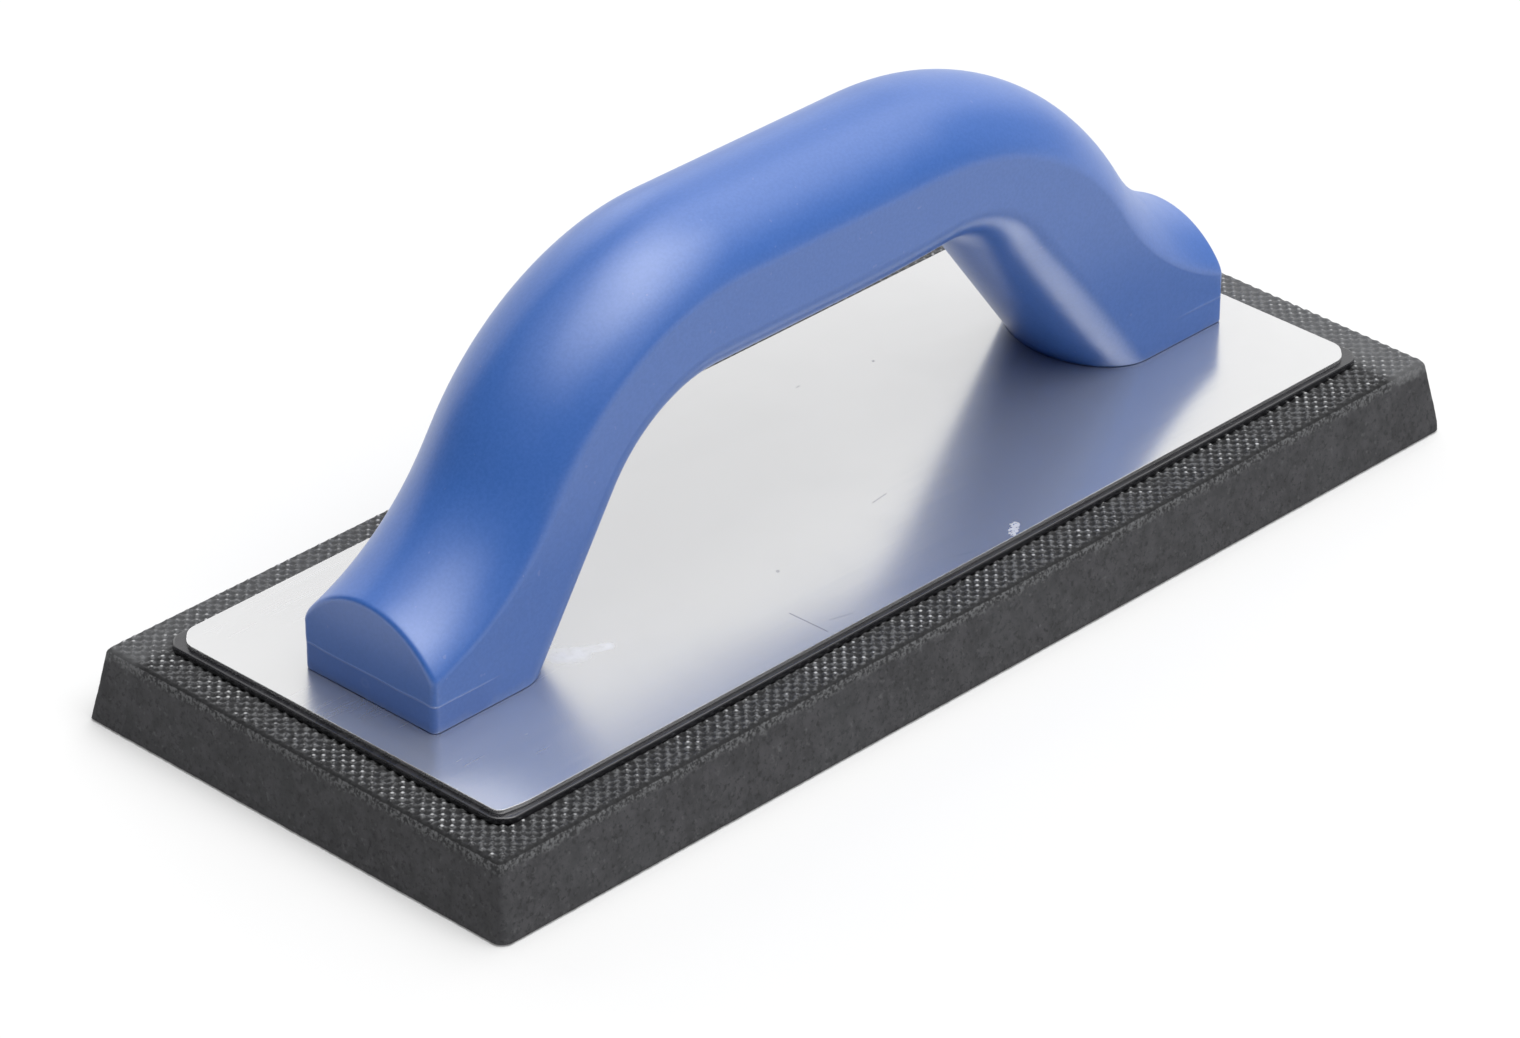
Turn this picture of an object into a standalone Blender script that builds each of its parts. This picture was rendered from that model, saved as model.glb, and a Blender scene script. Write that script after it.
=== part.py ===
"""Rubber hand float: a foam rubber pad under an aluminium backing plate, with a moulded plastic handle.

Metres, +Z up. The origin is the middle of the pad's underside. +X runs along the float from its
toe (the front foot of the handle) to its heel, and +Y is to the left of someone looking along +X.
"""

import math

import bmesh
import bpy
from mathutils import Vector

GAP = 0.0003  # kept between faces that touch on the real tool

# Float pad: cellular rubber, its four sides leaning in towards the top.
PAD_LENGTH = 0.2428
PAD_WIDTH = 0.1029
PAD_HEIGHT = 0.0144
PAD_LEAN = Vector((0.0024, 0.0029))  # how far the top outline stands inside the bottom one
PAD_CORNER = 0.002
PAD_TOP_ROUND = 0.0010
PAD_CORNER_STEPS = 5

# The two sheets above it, and the corners cut off them.
SHEET_OFFSET_X = -0.00075  # the sheets and the handle sit a little nearer the toe than the pad's middle
SHEET_OFFSET_Y = 0.0006  # and the sheets a little to the left of it
CARRIER_LENGTH = 0.2224
CARRIER_WIDTH = 0.0836
CARRIER_THICKNESS = 0.0008
PLATE_LENGTH = 0.2198
PLATE_WIDTH = 0.0812
PLATE_THICKNESS = 0.0008
CARRIER_CORNER_CUT = Vector((0.0025, 0.0025))
CORNER_CUT = Vector((0.0034, 0.0034))
NEAR_CORNER_CUT = Vector((0.0055, 0.0010))  # the backing plate's toe corner on the right is trimmed less

CARRIER_BOTTOM = PAD_HEIGHT + GAP
PLATE_BOTTOM = CARRIER_BOTTOM + CARRIER_THICKNESS + GAP
PLATE_TOP = PLATE_BOTTOM + PLATE_THICKNESS
HANDLE_BOTTOM = PLATE_TOP + GAP

# Handle: a crowned section swept along two lines in the XZ plane. The crease line is where the
# flat side meets the crown, and the inner line is where the flat side meets the round underside.
HANDLE_OFFSET_Y = 0.0015  # the handle is screwed on a little to the left of the sheets' middle
HALF_WIDTH = 0.0162
TOE_X = -0.1010
HEEL_X = 0.10205
CREASE_Z = 0.07635
INNER_Z = 0.0646
CROWN_ON_GRIP = 0.0098
FRONT_CROWN_ON_FOOT = 0.0085
REAR_CROWN_ON_FOOT = 0.0089
CROWN_FADE = (0.030, 0.075)  # where along X the crown goes from its height on the grip to the foot's
CREASE_BLEND = 0.0011  # the crease is softened this far to each side
UNDERSIDE_DEPTH = 0.0094

# Each line starts above the middle of the float and goes outwards: (radius or length, turn in
# degrees, number of stations). A turn of 0 is a straight run, and a negative one turns back up.
FRONT_CREASE = ((0.0249, 0, 3), (0.0533, 56.4, 12), (0.0046, 0, 1), (0.0550, -56.4, 13))
FRONT_INNER = ((0.0295, 0, 3), (0.0360, 57.6, 12), (0.0412, 0, 9), (0.0015, -57.6, 2), (0.0260, 0, 3))
REAR_CREASE = ((0.0244, 0, 3), (0.0586, 55.9, 12), (0.0025, 0, 1), (0.0560, -55.9, 13))
REAR_INNER = (
    (0.0016, 0, 1),
    (0.3600, -4.2, 2),
    (0.0280, 57.1, 12),
    (0.0492, 0, 9),
    (0.0015, -52.9, 2),
    (0.0260, 0, 3),
)
CROWN_STEPS = 6
CREASE_SHARES = (0.33, 0.67)  # the points along the softened crease, between its two ends
UNDERSIDE_STEPS = 7

# Screws: countersunk self-tapping screws from below, two in each foot.
SCREW_X = (-0.0885, 0.0900)
SCREW_SPREAD = 0.0080  # from the handle's middle plane to each screw
HEAD_RADIUS = 0.0037
HEAD_RIM = 0.0002
SHANK_RADIUS = 0.0020
CORE_RADIUS = 0.0014
HEAD_HEIGHT = HEAD_RIM + HEAD_RADIUS - SHANK_RADIUS  # a 90 degree countersink
SHANK_LENGTH = 0.0012
THREAD_PITCH = 0.0018
THREAD_TURNS = 5
THREAD_STEPS = 12
CREST_WIDTH = 0.0003
NECK_TAPER = 0.0004  # below the thread the shank narrows to the core over this height
THREAD_START = 0.0008  # and the thread starts this far above the shank
TIP_LENGTH = 0.0022
RECESS_DEPTH = 0.0013
RECESS_SPAN = 0.0040
RECESS_WIDTH = 0.0008
RECESS_LEVELS = ((1.2, -0.0003), (0.45, RECESS_DEPTH))  # share of the outline, height in the head
HOLE_CLEARANCE = 0.0003
PILOT_DEPTH = 0.0165
PILOT_POINT = 0.0010  # the pilot hole narrows over this length
PILOT_TIP = 0.0005  # to this radius
ROUND_STEPS = 24


def clear_scene():
    for obj in list(bpy.data.objects):
        bpy.data.objects.remove(obj, do_unlink=True)


def material(name, colour, roughness, metallic=0.0):
    made = bpy.data.materials.new(name)
    made.use_nodes = True
    shader = made.node_tree.nodes["Principled BSDF"]
    shader.inputs["Base Color"].default_value = (*colour, 1.0)
    shader.inputs["Roughness"].default_value = roughness
    shader.inputs["Metallic"].default_value = metallic
    made.diffuse_color = (*colour, 1.0)
    return made


def finished(name, shape, surface, sharp_angle=30):
    """The bmesh as an object, with its faces turned outwards and its round stretches smooth."""
    bmesh.ops.recalc_face_normals(shape, faces=shape.faces)
    mesh = bpy.data.meshes.new(name)
    shape.to_mesh(mesh)
    shape.free()
    mesh.shade_smooth()
    mesh.set_sharp_from_angle(angle=math.radians(sharp_angle))
    if surface:
        mesh.materials.append(surface)
    obj = bpy.data.objects.new(name, mesh)
    bpy.context.collection.objects.link(obj)
    return obj


def cut_with(obj, cutter):
    modifier = obj.modifiers.new(cutter.name, "BOOLEAN")
    modifier.operation = "DIFFERENCE"
    modifier.solver = "EXACT"
    modifier.object = cutter
    cutter.hide_render = True
    cutter.display_type = "WIRE"


def bridge(shape, loops, closed_ends=True):
    """Quads between rings of equal length, and a face over each end."""
    for lower, upper in zip(loops, loops[1:]):
        for i in range(len(lower)):
            j = (i + 1) % len(lower)
            shape.faces.new((lower[i], lower[j], upper[j], upper[i]))
    if closed_ends:
        shape.faces.new(loops[0])
        shape.faces.new(loops[-1])


def rounded_outline(length, width, radius):
    """Corner points of a rectangle with round corners, counter-clockwise."""
    points = []
    for quarter in range(4):
        side_x = 1 if quarter in (0, 3) else -1
        side_y = 1 if quarter in (0, 1) else -1
        centre = Vector((side_x * (length / 2 - radius), side_y * (width / 2 - radius)))
        for step in range(PAD_CORNER_STEPS + 1):
            angle = math.radians(90) * (quarter + step / PAD_CORNER_STEPS)
            points.append(centre + radius * Vector((math.cos(angle), math.sin(angle))))
    return points


def cut_outline(length, width, cuts):
    """A rectangle with its corners cut off. cuts are those of the corners +X+Y, -X+Y, -X-Y, +X-Y."""
    points = []
    for index, ((side_x, side_y), cut) in enumerate(zip(((1, 1), (-1, 1), (-1, -1), (1, -1)), cuts)):
        along_x = Vector((side_x * (length / 2 - cut.x), side_y * width / 2))
        along_y = Vector((side_x * length / 2, side_y * (width / 2 - cut.y)))
        points += (along_y, along_x) if index % 2 == 0 else (along_x, along_y)
    return points


def make_pad(surface):
    """Leaning sides, then a rounded top edge."""
    levels = [(0.0, 0.0), (1 - PAD_TOP_ROUND / PAD_HEIGHT, 0.0)]
    for step in range(1, 4):
        angle = math.radians(30 * step)
        rise = (1 - math.sin(angle)) * PAD_TOP_ROUND / PAD_HEIGHT
        levels.append((1 - rise, (1 - math.cos(angle)) * PAD_TOP_ROUND))
    shape = bmesh.new()
    loops = []
    for share, tuck in levels:
        inset = share * PAD_LEAN + Vector((tuck, tuck))
        outline = rounded_outline(PAD_LENGTH - 2 * inset.x, PAD_WIDTH - 2 * inset.y, PAD_CORNER)
        loops.append([shape.verts.new((*point, share * PAD_HEIGHT)) for point in outline])
    bridge(shape, loops)
    return finished("rubber_pad", shape, surface)


def make_sheet(name, outline, bottom, thickness, surface):
    shape = bmesh.new()
    offset = Vector((SHEET_OFFSET_X, SHEET_OFFSET_Y))
    loops = []
    for z in (bottom, bottom + thickness):
        loops.append([shape.verts.new((*(point + offset), z)) for point in outline])
    bridge(shape, loops)
    return finished(name, shape, surface)


def walk(height, steps):
    """Stations (x, z, slope) along straight runs and arcs, from the middle of the grip outwards."""
    x, z, slope = 0.0, height, 0.0
    stations = [(x, z, slope)]
    for size, turn, count in steps:
        for _ in range(count):
            if turn == 0:
                x += size / count * math.cos(slope)
                z -= size / count * math.sin(slope)
            else:
                ahead = slope + math.radians(turn / count)
                side = math.copysign(size, turn)
                x += side * (math.sin(ahead) - math.sin(slope))
                z -= side * (math.cos(slope) - math.cos(ahead))
                slope = ahead
            stations.append((x, z, slope))
    return stations


def section(crease, inner, crown_on_foot):
    """One side of the handle's section as (y, x, z), from the crown's middle to the underside's."""
    edge = Vector((crease[0], crease[1]))
    out = Vector((math.sin(crease[2]), math.cos(crease[2])))
    low = Vector((inner[0], inner[1]))
    into = -Vector((math.sin(inner[2]), math.cos(inner[2])))
    foot_share = (edge.x - CROWN_FADE[0]) / (CROWN_FADE[1] - CROWN_FADE[0])
    foot_share = min(1.0, max(0.0, foot_share))
    crown = CROWN_ON_GRIP + foot_share * (crown_on_foot - CROWN_ON_GRIP)
    radius = (HALF_WIDTH**2 + crown**2) / (2 * crown)

    def on_crown(y):
        lift = math.sqrt(radius**2 - y**2) - (radius - crown)
        return Vector((y, *(edge + out * lift)))

    points = []
    last = HALF_WIDTH - CREASE_BLEND
    for step in range(CROWN_STEPS + 1):
        points.append(on_crown(last * step / CROWN_STEPS))
    start = points[-1]
    corner = Vector((HALF_WIDTH, *edge))
    down = (low - edge).normalized()
    end = Vector((HALF_WIDTH, *(edge + down * CREASE_BLEND)))
    for share in CREASE_SHARES:
        points.append(start * (1 - share) ** 2 + corner * 2 * share * (1 - share) + end * share**2)
    points.append(end)
    for step in range(UNDERSIDE_STEPS + 1):
        angle = math.radians(90) * step / UNDERSIDE_STEPS
        place = low + into * UNDERSIDE_DEPTH * math.sin(angle)
        points.append(Vector((HALF_WIDTH * math.cos(angle), *place)))
    return points


def trim(shape, place, normal):
    """Cuts away what lies beyond a plane, and closes the cut."""
    everything = shape.verts[:] + shape.edges[:] + shape.faces[:]
    bmesh.ops.bisect_plane(
        shape, geom=everything, plane_co=place, plane_no=normal, clear_outer=True, dist=1e-7
    )
    rim = [edge for edge in shape.edges if edge.is_boundary]
    bmesh.ops.holes_fill(shape, edges=rim, sides=0)


def make_handle(surface):
    """Sections from the toe over the grip to the heel, trimmed flat at both ends and underneath."""
    shape = bmesh.new()
    front = list(zip(walk(CREASE_Z, FRONT_CREASE), walk(INNER_Z, FRONT_INNER)))
    rear = list(zip(walk(CREASE_Z, REAR_CREASE), walk(INNER_Z, REAR_INNER)))
    loops = []
    halves = ((-1, front[:0:-1], FRONT_CROWN_ON_FOOT), (1, rear, REAR_CROWN_ON_FOOT))
    for side, pairs, crown_on_foot in halves:
        for crease, inner in pairs:
            half = section(crease, inner, crown_on_foot)
            around = half + [Vector((-y, x, z)) for y, x, z in half[-2:0:-1]]
            places = [Vector((side * x + SHEET_OFFSET_X, y + HANDLE_OFFSET_Y, z)) for y, x, z in around]
            loops.append([shape.verts.new(place) for place in places])
    bridge(shape, loops)
    bmesh.ops.recalc_face_normals(shape, faces=shape.faces)
    trim(shape, Vector((TOE_X + SHEET_OFFSET_X, 0, 0)), Vector((-1, 0, 0)))
    trim(shape, Vector((HEEL_X + SHEET_OFFSET_X, 0, 0)), Vector((1, 0, 0)))
    trim(shape, Vector((0, 0, HANDLE_BOTTOM)), Vector((0, 0, -1)))
    return finished("handle", shape, surface)


def ring(shape, radius, z, steps=ROUND_STEPS):
    angles = (math.tau * step / steps for step in range(steps))
    return [shape.verts.new((radius * math.cos(a), radius * math.sin(a), z)) for a in angles]


def turned(name, profile, surface=None):
    """A solid of revolution about Z, from (radius, z) pairs listed upwards."""
    shape = bmesh.new()
    bridge(shape, [ring(shape, radius, z) for radius, z in profile])
    return finished(name, shape, surface)


def add_thread(shape, below, start_z):
    """A helical ridge on the core above the ring `below`. Returns the ring at its top."""
    count = THREAD_STEPS * THREAD_TURNS
    flank = (THREAD_PITCH - CREST_WIDTH) / 2
    roots, lows, highs = [], [], []
    for k in range(count + THREAD_STEPS + 1):
        angle = math.tau * k / THREAD_STEPS
        way = Vector((math.cos(angle), math.sin(angle), 0))
        z = start_z + THREAD_PITCH * k / THREAD_STEPS
        roots.append(shape.verts.new(way * CORE_RADIUS + Vector((0, 0, z))))
        if k > count:
            continue
        grown = min(1.0, k / THREAD_STEPS + 0.05, (count - k) / THREAD_STEPS + 0.05)
        crest = way * (CORE_RADIUS + grown * (SHANK_RADIUS - CORE_RADIUS))
        lows.append(shape.verts.new(crest + Vector((0, 0, z + flank))))
        highs.append(shape.verts.new(crest + Vector((0, 0, z + flank + CREST_WIDTH))))
    for k in range(count):
        above = k + THREAD_STEPS
        shape.faces.new((roots[k], roots[k + 1], lows[k + 1], lows[k]))
        shape.faces.new((lows[k], lows[k + 1], highs[k + 1], highs[k]))
        shape.faces.new((highs[k], highs[k + 1], roots[above + 1], roots[above]))
    shape.faces.new((roots[0], lows[0], highs[0], roots[THREAD_STEPS]))
    shape.faces.new((roots[count], lows[count], highs[count], roots[-1]))
    top_z = start_z + THREAD_PITCH * (THREAD_TURNS + 1) + THREAD_PITCH / 4
    above = ring(shape, CORE_RADIUS, top_z, THREAD_STEPS)
    for k in range(THREAD_STEPS - 1):
        shape.faces.new((below[k], below[k + 1], roots[k + 1], roots[k]))
        shape.faces.new((roots[count + k], roots[count + k + 1], above[k + 1], above[k]))
    k = THREAD_STEPS - 1
    shape.faces.new((below[k], below[0], roots[0], roots[THREAD_STEPS], roots[k]))
    shape.faces.new((roots[count + k], roots[-1], roots[count], above[0], above[k]))
    return above


def screw_mesh(surface):
    """Head down at z = 0, tip up. The cross recess is cut afterwards."""
    shape = bmesh.new()
    neck = HEAD_HEIGHT + SHANK_LENGTH
    levels = ((HEAD_RADIUS, 0), (HEAD_RADIUS, HEAD_RIM), (SHANK_RADIUS, HEAD_HEIGHT), (SHANK_RADIUS, neck))
    loops = [ring(shape, radius, z, THREAD_STEPS * 2) for radius, z in levels]
    bridge(shape, loops, closed_ends=False)
    shape.faces.new(loops[0])
    below = ring(shape, CORE_RADIUS, neck + NECK_TAPER, THREAD_STEPS)
    outer = loops[-1]
    for k in range(THREAD_STEPS):
        ahead = (k + 1) % THREAD_STEPS
        shape.faces.new((outer[2 * k], outer[2 * k + 1], below[k]))
        shape.faces.new((outer[2 * k + 1], outer[(2 * k + 2) % len(outer)], below[ahead]))
        shape.faces.new((outer[2 * k + 1], below[ahead], below[k]))
    above = add_thread(shape, below, neck + THREAD_START)
    tip = shape.verts.new((0, 0, above[0].co.z + TIP_LENGTH))
    for k in range(THREAD_STEPS):
        shape.faces.new((above[k], above[(k + 1) % THREAD_STEPS], tip))
    return finished("screw", shape, surface)


def recess_cutter():
    """Two crossed wedges that narrow towards the bottom of the screw's drive recess."""
    shape = bmesh.new()
    half_span = RECESS_SPAN / 2
    half_width = RECESS_WIDTH / 2
    outline = []
    for quarter in range(4):
        cosine = round(math.cos(math.radians(90) * quarter))
        sine = round(math.sin(math.radians(90) * quarter))
        for x, y in ((half_span, half_width), (half_width, half_width), (half_width, half_span)):
            outline.append((x * cosine - y * sine, x * sine + y * cosine))
    loops = [
        [shape.verts.new((x * share, y * share, z)) for x, y in outline]
        for share, z in RECESS_LEVELS
    ]
    bridge(shape, loops)
    return finished("recess_cutter", shape, None)


def main():
    clear_scene()
    rubber = material("foam_rubber", (0.075, 0.075, 0.080), 0.85)
    black = material("black_plastic", (0.020, 0.020, 0.023), 0.45)
    aluminium = material("aluminium", (0.80, 0.80, 0.80), 0.35, 1.0)
    blue = material("blue_plastic", (0.045, 0.120, 0.450), 0.42)
    steel = material("zinc_plated_steel", (0.62, 0.62, 0.64), 0.35, 1.0)

    make_pad(rubber)
    carrier = make_sheet(
        "carrier_plate",
        cut_outline(CARRIER_LENGTH, CARRIER_WIDTH, (CARRIER_CORNER_CUT,) * 4),
        CARRIER_BOTTOM,
        CARRIER_THICKNESS,
        black,
    )
    plate = make_sheet(
        "backing_plate",
        cut_outline(PLATE_LENGTH, PLATE_WIDTH, (CORNER_CUT, CORNER_CUT, NEAR_CORNER_CUT, CORNER_CUT)),
        PLATE_BOTTOM,
        PLATE_THICKNESS,
        aluminium,
    )
    handle = make_handle(blue)

    pattern = screw_mesh(steel)
    cutter = recess_cutter()
    for end, x in zip(("front", "rear"), SCREW_X):
        for side, y in (("left", SCREW_SPREAD), ("right", -SCREW_SPREAD)):
            screw = bpy.data.objects.new(f"{end}_screw_{side}", pattern.data.copy())
            bpy.context.collection.objects.link(screw)
            screw.location = (x + SHEET_OFFSET_X, y + HANDLE_OFFSET_Y, CARRIER_BOTTOM)
            recess = bpy.data.objects.new(f"{end}_recess_{side}", cutter.data)
            bpy.context.collection.objects.link(recess)
            recess.location = screw.location
            cut_with(screw, recess)

            wide = HEAD_RADIUS + HOLE_CLEARANCE
            narrow = SHANK_RADIUS + HOLE_CLEARANCE
            sink = turned(
                f"{end}_countersink_{side}",
                ((wide, -0.001), (wide, HEAD_RIM), (narrow, HEAD_HEIGHT), (narrow, 0.004)),
            )
            sink.location = screw.location
            cut_with(carrier, sink)
            cut_with(plate, sink)

            pilot = turned(
                f"{end}_pilot_{side}",
                ((narrow, 0.001), (narrow, PILOT_DEPTH), (PILOT_TIP, PILOT_DEPTH + PILOT_POINT)),
            )
            pilot.location = screw.location
            cut_with(handle, pilot)
    bpy.data.objects.remove(pattern)
    bpy.data.objects.remove(cutter)


main()
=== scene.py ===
"""The rubber hand float as it looks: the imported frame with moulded, foamed and rolled surfaces on it."""

import math

import bmesh
import bpy
import numpy as np
from mathutils import Matrix, Vector, noise


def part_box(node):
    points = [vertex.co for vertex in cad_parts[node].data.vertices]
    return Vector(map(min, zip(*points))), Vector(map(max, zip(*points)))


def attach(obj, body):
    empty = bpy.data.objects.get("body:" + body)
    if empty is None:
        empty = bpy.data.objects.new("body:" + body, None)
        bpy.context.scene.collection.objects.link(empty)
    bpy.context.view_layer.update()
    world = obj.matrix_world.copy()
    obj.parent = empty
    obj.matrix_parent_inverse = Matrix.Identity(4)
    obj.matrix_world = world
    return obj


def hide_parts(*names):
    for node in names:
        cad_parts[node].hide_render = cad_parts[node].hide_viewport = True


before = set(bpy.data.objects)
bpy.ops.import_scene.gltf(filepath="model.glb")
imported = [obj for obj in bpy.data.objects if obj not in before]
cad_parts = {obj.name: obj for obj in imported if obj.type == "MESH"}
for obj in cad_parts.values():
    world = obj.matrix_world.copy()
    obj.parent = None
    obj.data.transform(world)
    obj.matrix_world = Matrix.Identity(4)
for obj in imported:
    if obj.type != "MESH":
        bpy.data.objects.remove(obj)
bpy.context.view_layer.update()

MM = 0.001

# ------------------------------------------------------------------ places, from the frame
pad_low, pad_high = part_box("rubber_pad")
carrier_low, carrier_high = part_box("carrier_plate")
plate_low, plate_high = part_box("backing_plate")
handle_low, handle_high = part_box("handle")
SCREWS = ("front_screw_left", "front_screw_right", "rear_screw_left", "rear_screw_right")

PLATE_TOP = plate_high[2]
HANDLE_Y = (handle_low[1] + handle_high[1]) / 2
HALF_WIDTH = (handle_high[1] - handle_low[1]) / 2
TOE_X = handle_low[0]
HEEL_X = handle_high[0]
HANDLE_BOTTOM = PLATE_TOP + 0.05 * MM
MIDDLE_X = (plate_low[0] + plate_high[0]) / 2  # of everything above the pad

# The sheets and the handle were put on the pad by hand, a little askew.
SKEW = math.radians(0.26)

# Handle: the same two lines and section as in the CAD model, with more stations.
CROWN_ON_GRIP = 9.8 * MM
CREASE_Z = handle_high[2] - CROWN_ON_GRIP
INNER_Z = CREASE_Z - 11.75 * MM
CREASE_BLEND = 1.1 * MM
UNDERSIDE_DEPTH = 9.4 * MM
FRONT_CROWN_ON_FOOT = 8.5 * MM
REAR_CROWN_ON_FOOT = 8.9 * MM
FRONT_CREASE = ((24.9, 0, 3), (53.3, 56.4, 12), (4.6, 0, 1), (55.0, -56.4, 13))
FRONT_INNER = ((29.5, 0, 3), (36.0, 57.6, 12), (41.2, 0, 9), (1.5, -57.6, 2), (26.0, 0, 3))
REAR_CREASE = ((24.4, 0, 3), (58.6, 55.9, 12), (2.5, 0, 1), (56.0, -55.9, 13))
REAR_INNER = ((1.6, 0, 1), (360, -4.2, 2), (28.0, 57.1, 12), (49.2, 0, 9), (1.5, -52.9, 2), (26.0, 0, 3))
FINENESS = 4  # stations here for each one in the CAD model
CROWN_LINES = 18
BLEND_LINES = 5
SIDE_LINES = 12
UNDERSIDE_LINES = 14
END_STRETCH = 17 * MM  # the last part of each foot, sliced straight across
END_ROWS = 14
FILLET_ROWS = 7
END_ROUND = 1.25 * MM
END_ROUND_LOW = 1.5 * MM  # below the witness line
WITNESS_Z = PLATE_TOP + 5.5 * MM
BASE_ROUND = 0.4 * MM

# Pad.
HEEL_LEAN = 2.2 * MM  # how far each side of the top outline stands inside the bottom one
TOE_LEAN = 2.4 * MM
LEFT_LEAN = 2.4 * MM
RIGHT_LEAN = 2.9 * MM
PAD_CORNERS = (1.2 * MM, 0.9 * MM, 2.6 * MM, 1.8 * MM)  # at +X+Y, -X+Y, -X-Y, +X-Y, at the bottom
PAD_CORNER_ABOVE = 0.9 * MM  # and from a third of the height upwards
PAD_TOP_ROUND = 1.0 * MM
NET_PITCH = 1.7 * MM
NET_RELIEF = 0.36 * MM
PAD_STEP = 0.27 * MM

# Sheets.
CARRIER_CORNER_CUT = Vector((2.5, 2.5)) * MM
LIP_WIDTH = 0.3 * MM  # the carrier's top edge is rounded off over this width
LIP_DROP = 0.3 * MM  # and this height
LIP_STEPS = 8
CORNER_CUT = Vector((3.4, 3.4)) * MM
NEAR_CORNER_CUT = Vector((5.5, 1.0)) * MM

# Screw holes.
HEAD_RADIUS = 4.0 * MM
SHANK_RADIUS = 2.3 * MM
PILOT_DEPTH = 16.5 * MM


# ------------------------------------------------------------------ mesh helpers
LEVEL = 0.99999  # a face whose normal stands this straight is shaded flat
EDGE_ANGLE = 50  # degrees; sharper edges of the cut pieces are shaded as edges


def object_from(name, shape, surface, sharp_angle=35):
    bmesh.ops.recalc_face_normals(shape, faces=shape.faces)
    mesh = bpy.data.meshes.new(name)
    shape.to_mesh(mesh)
    shape.free()
    mesh.shade_smooth()
    mesh.set_sharp_from_angle(angle=math.radians(sharp_angle))
    mesh.materials.append(surface)
    obj = bpy.data.objects.new(name, mesh)
    bpy.context.scene.collection.objects.link(obj)
    return obj


def bridge(shape, lower, upper, closed=True):
    count = len(lower)
    for i in range(count if closed else count - 1):
        j = (i + 1) % count
        shape.faces.new((lower[i], lower[j], upper[j], upper[i]))


def apply_cutters(obj, cutters):
    """Boolean differences, applied, with the cutters removed afterwards."""
    for cutter in cutters:
        modifier = obj.modifiers.new("cut", "BOOLEAN")
        modifier.operation = "DIFFERENCE"
        modifier.solver = "EXACT"
        modifier.object = cutter
    bpy.context.view_layer.update()
    evaluated = obj.evaluated_get(bpy.context.evaluated_depsgraph_get())
    mesh = bpy.data.meshes.new_from_object(evaluated)
    obj.modifiers.clear()
    obj.data = mesh
    for face in mesh.polygons:
        face.use_smooth = abs(face.normal.z) < LEVEL
    mesh.set_sharp_from_angle(angle=math.radians(EDGE_ANGLE))
    for cutter in cutters:
        bpy.data.objects.remove(cutter)


def turned(profile, centre, steps=32):
    """A solid of revolution about a vertical axis, from (radius, z) pairs listed upwards."""
    shape = bmesh.new()
    rings = []
    for radius, z in profile:
        angles = [math.tau * k / steps for k in range(steps)]
        rings.append(
            [
                shape.verts.new((centre.x + radius * math.cos(a), centre.y + radius * math.sin(a), z))
                for a in angles
            ]
        )
    for lower, upper in zip(rings, rings[1:]):
        bridge(shape, lower, upper)
    shape.faces.new(rings[0])
    shape.faces.new(rings[-1])
    bmesh.ops.recalc_face_normals(shape, faces=shape.faces)
    mesh = bpy.data.meshes.new("cutter")
    shape.to_mesh(mesh)
    shape.free()
    obj = bpy.data.objects.new("cutter", mesh)
    bpy.context.scene.collection.objects.link(obj)
    return obj


def askew(x, y, z=0.0):
    """The place turned by the skew about the frame's upright axis."""
    return Vector((x * math.cos(SKEW) - y * math.sin(SKEW), x * math.sin(SKEW) + y * math.cos(SKEW), z))


def screw_places():
    for name in SCREWS:
        low, high = (Vector(corner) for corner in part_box(name))
        yield Vector(((low.x + high.x) / 2, (low.y + high.y) / 2, low.z))


def head_cutters():
    """The countersink and its hole through both sheets, for each screw."""
    for place in screw_places():
        cone_top = place.z + HEAD_RADIUS - SHANK_RADIUS
        yield turned(
            (
                (HEAD_RADIUS, place.z - 2 * MM),
                (HEAD_RADIUS, place.z + 0.2 * MM),
                (SHANK_RADIUS, cone_top),
                (SHANK_RADIUS, PLATE_TOP + 1 * MM),
            ),
            place,
        )


# ------------------------------------------------------------------ handle
def walk(height, steps):
    """Stations (x, z, slope) along straight runs and arcs, from the middle of the grip outwards."""
    x, z, slope = 0.0, height, 0.0
    stations = [(x, z, slope)]
    for size, turn, count in steps:
        size = size * MM
        count *= FINENESS
        for _ in range(count):
            if turn == 0:
                x += size / count * math.cos(slope)
                z -= size / count * math.sin(slope)
            else:
                ahead = slope + math.radians(turn / count)
                side = math.copysign(size, turn)
                x += side * (math.sin(ahead) - math.sin(slope))
                z -= side * (math.cos(slope) - math.cos(ahead))
                slope = ahead
            stations.append((x, z, slope))
    return stations


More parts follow.
